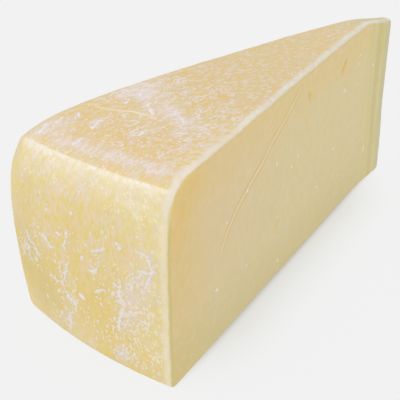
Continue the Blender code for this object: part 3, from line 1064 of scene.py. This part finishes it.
def crustFinish(name, first, second, edge, scale):
    # a dry, finely mottled white; its edge takes the tone of what it lies on
    material, tree, shader, place = newMaterial(name)
    mottle = grainOf(tree, place, scale, 3.0, 0.6)
    colour = blend(tree, band(tree, mottle, 0.35, 0.65), first, second)
    colour = blend(tree, band(tree, field(tree, "foot"), 0.15, 0.85), colour, edge)
    setInputs(tree, shader, {
        "Base Color": colour,
        "Roughness": band(tree, mottle, 0.3, 0.7, 0.6, 0.8),
        "Normal": bumpOf(tree, mottle, finishes["crustBump"], finishes["crustBumpHeight"]),
        "Specular IOR Level": finishes["crustGloss"],
    })
    return material


studio = {
    "cameraPlace": (0.24259, -0.31055, 0.25214),
    "cameraTurn": (59.92, 0.0, 41.19),
    "lens": 94.17,
    "sky": 0.888,
    "sunPower": 0.75,
    "sunFrom": (-0.15, -0.62, 0.77),
    "sunSize": 50.0,
    "floorSize": 8.0,
    "floorColour": linear(50, 50, 50),
    "floorGlow": 0.854,
    "shadeFrom": (-0.95, -0.25, 0.15),
    "cutPlane": 0.0207,  # how far the right cut's plane passes from the origin
    # how far each shade reaches, how deep it is and between which places along Y it fades in and out
    "shades": ((0.042, 0.140, (-0.100, -0.040), (0.105, 0.050)),
               (0.004, 0.130, (-0.100, -0.060), (0.105, 0.070))),
    "shadeTone": (1.0, 0.99, 0.93, 1.0),
}


def floorFinish():
    # a pale floor, partly lit from within, whose glow is dimmed close to the wedge's right foot as a painted
    # shadow
    material, tree, shader, place = newMaterial("paleFloor")
    # past the plane of the right cut, and fading out toward both of its ends
    split = addNode(tree, "ShaderNodeSeparateXYZ", None, {0: place})
    inputs = {0: split.outputs[0], 1: math.cos(wedge["halfAngle"]), 2: -studio["cutPlane"]}
    beyond = addNode(tree, "ShaderNodeMath", {"operation": "MULTIPLY_ADD"}, inputs).outputs[0]
    inputs = {0: split.outputs[1], 1: math.sin(wedge["halfAngle"]), 2: beyond}
    beyond = addNode(tree, "ShaderNodeMath", {"operation": "MULTIPLY_ADD"}, inputs).outputs[0]
    where = band(tree, beyond, -0.005, -0.003)
    glow = studio["floorGlow"]
    for reach, depth, near, far in studio["shades"]:
        inputs = {"Distance": reach, "Normal": studio["shadeFrom"]}
        openness = addNode(tree, "ShaderNodeAmbientOcclusion", {"samples": 16}, inputs).outputs["AO"]
        hidden = sums(tree, sums(tree, 1.0, openness, "SUBTRACT"), 2.0)
        hidden = sums(tree, hidden, 1.05, "MINIMUM")
        shade = sums(tree, sums(tree, sums(tree, hidden, 3.0, "POWER"), depth), where)
        ends = sums(tree, band(tree, split.outputs[1], *near), band(tree, split.outputs[1], *far))
        glow = sums(tree, glow, sums(tree, shade, ends), "SUBTRACT")
    # painted warm tint in the shadow, standing in for light thrown back from the cheese
    warm = band(tree, glow, studio["floorGlow"], studio["floorGlow"] - 0.12)
    glowTone = blend(tree, warm, (1.0, 1.0, 1.0, 1.0), studio["shadeTone"])
    setInputs(tree, shader, {
        "Base Color": studio["floorColour"],
        "Roughness": 1.0,
        "Specular IOR Level": 0.0,
        "Emission Color": glowTone,
        "Emission Strength": glow,
    })
    return material


def setStudio():
    scene = bpy.context.scene
    scene.view_settings.view_transform = "Standard"
    camera = bpy.data.objects.new("camera", bpy.data.cameras.new("camera"))
    scene.collection.objects.link(camera)
    camera.location = studio["cameraPlace"]
    camera.rotation_euler = [math.radians(turn) for turn in studio["cameraTurn"]]
    camera.data.lens = studio["lens"]
    camera.data.sensor_width = 36.0
    scene.camera = camera
    world = bpy.data.worlds.new("studio")
    world.use_nodes = True
    background = world.node_tree.nodes["Background"]
    background.inputs["Color"].default_value = (1.0, 1.0, 1.0, 1.0)
    background.inputs["Strength"].default_value = studio["sky"]
    scene.world = world
    sun = bpy.data.objects.new("window", bpy.data.lights.new("window", "SUN"))
    scene.collection.objects.link(sun)
    sun.data.energy = studio["sunPower"]
    sun.data.angle = math.radians(studio["sunSize"])
    sun.rotation_euler = Vector(studio["sunFrom"]).to_track_quat("Z", "Y").to_euler()
    form = bmesh.new()
    bmesh.ops.create_grid(form, x_segments=1, y_segments=1, size=studio["floorSize"] / 2)
    floor = finished(form, "floor")
    floor.data.materials.append(floorFinish())


body, surface, wheelAxis = makeBody()
body.data.materials.append(cheeseFinish())
rindFlakes = makeFlakes(surface, wheelAxis)
bloomFinish = crustFinish("bloomFinish", tones["bloom"], tones["flake"], tones["sideBuff"], 500.0)
rindFlakes.data.materials.append(bloomFinish)
pasteCrystals = makeCrystals(surface, wheelAxis)
crystalFinish = crustFinish("crystalFinish", tones["crystal"], tones["cream"], tones["cream"], 900.0)
pasteCrystals.data.materials.append(crystalFinish)
for piece in (body, rindFlakes, pasteCrystals):
    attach(piece, "root")
    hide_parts("cheese_wedge")
setStudio()
print("studio set")
